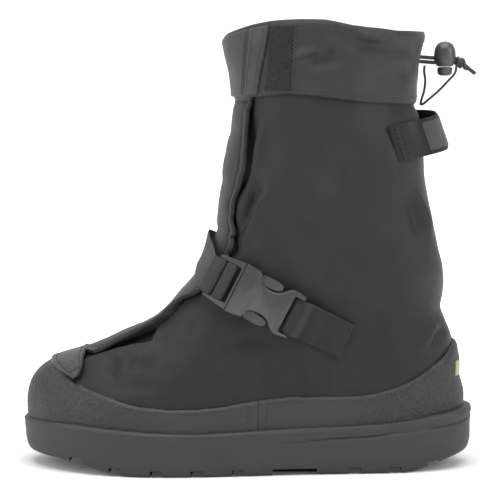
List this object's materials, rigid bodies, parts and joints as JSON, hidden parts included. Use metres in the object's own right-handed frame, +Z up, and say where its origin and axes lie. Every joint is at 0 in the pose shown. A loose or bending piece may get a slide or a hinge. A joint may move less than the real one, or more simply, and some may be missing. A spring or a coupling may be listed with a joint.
{
  "type": "winter overshoe",
  "caption": "Left winter overshoe: lugged rubber cup sole, rubberised rand, hollow nylon shaft with front flap, instep strap with side-release buckle, drawcord cuff and rear pull loop.",
  "frame": {"origin": "on the floor under the middle of the shoe's box, measured without the drawcord and what is on it", "axes": "+Z up, -X towards the toe, -Y towards the outer side with the buckle"},
  "size_m": [0.3121, 0.1272, 0.3029],
  "materials": {
    "sole_rubber": "matte moulded rubber",
    "rand": "pebbled rubber coating",
    "nylon": "coated nylon, soft sheen",
    "webbing": "woven webbing",
    "buckle_plastic": "satin moulded plastic",
    "lining": "brushed lining",
    "cord": "braided elastic cord"
  },
  "bodies": {
    "root": {"outsole": "sole_rubber", "insole": "lining", "upper": "nylon", "rand_front": "rand", "rand_rear": "rand", "toe_patch": "rand", "front_flap": "nylon", "cuff": "nylon", "cuff_tab": "nylon", "instep_strap": "webbing", "strap_tab": "webbing", "buckle_male": "buckle_plastic", "buckle_female": "buckle_plastic", "pull_loop": "webbing", "cord_lock_body": "buckle_plastic", "cord_lock_button": "buckle_plastic", "drawcord": "cord", "drawcord_return": "cord", "drawcord_knot": "cord", "drawcord_tail": "cord", "cord_keeper": "cord"}
  },
  "joints": []
}
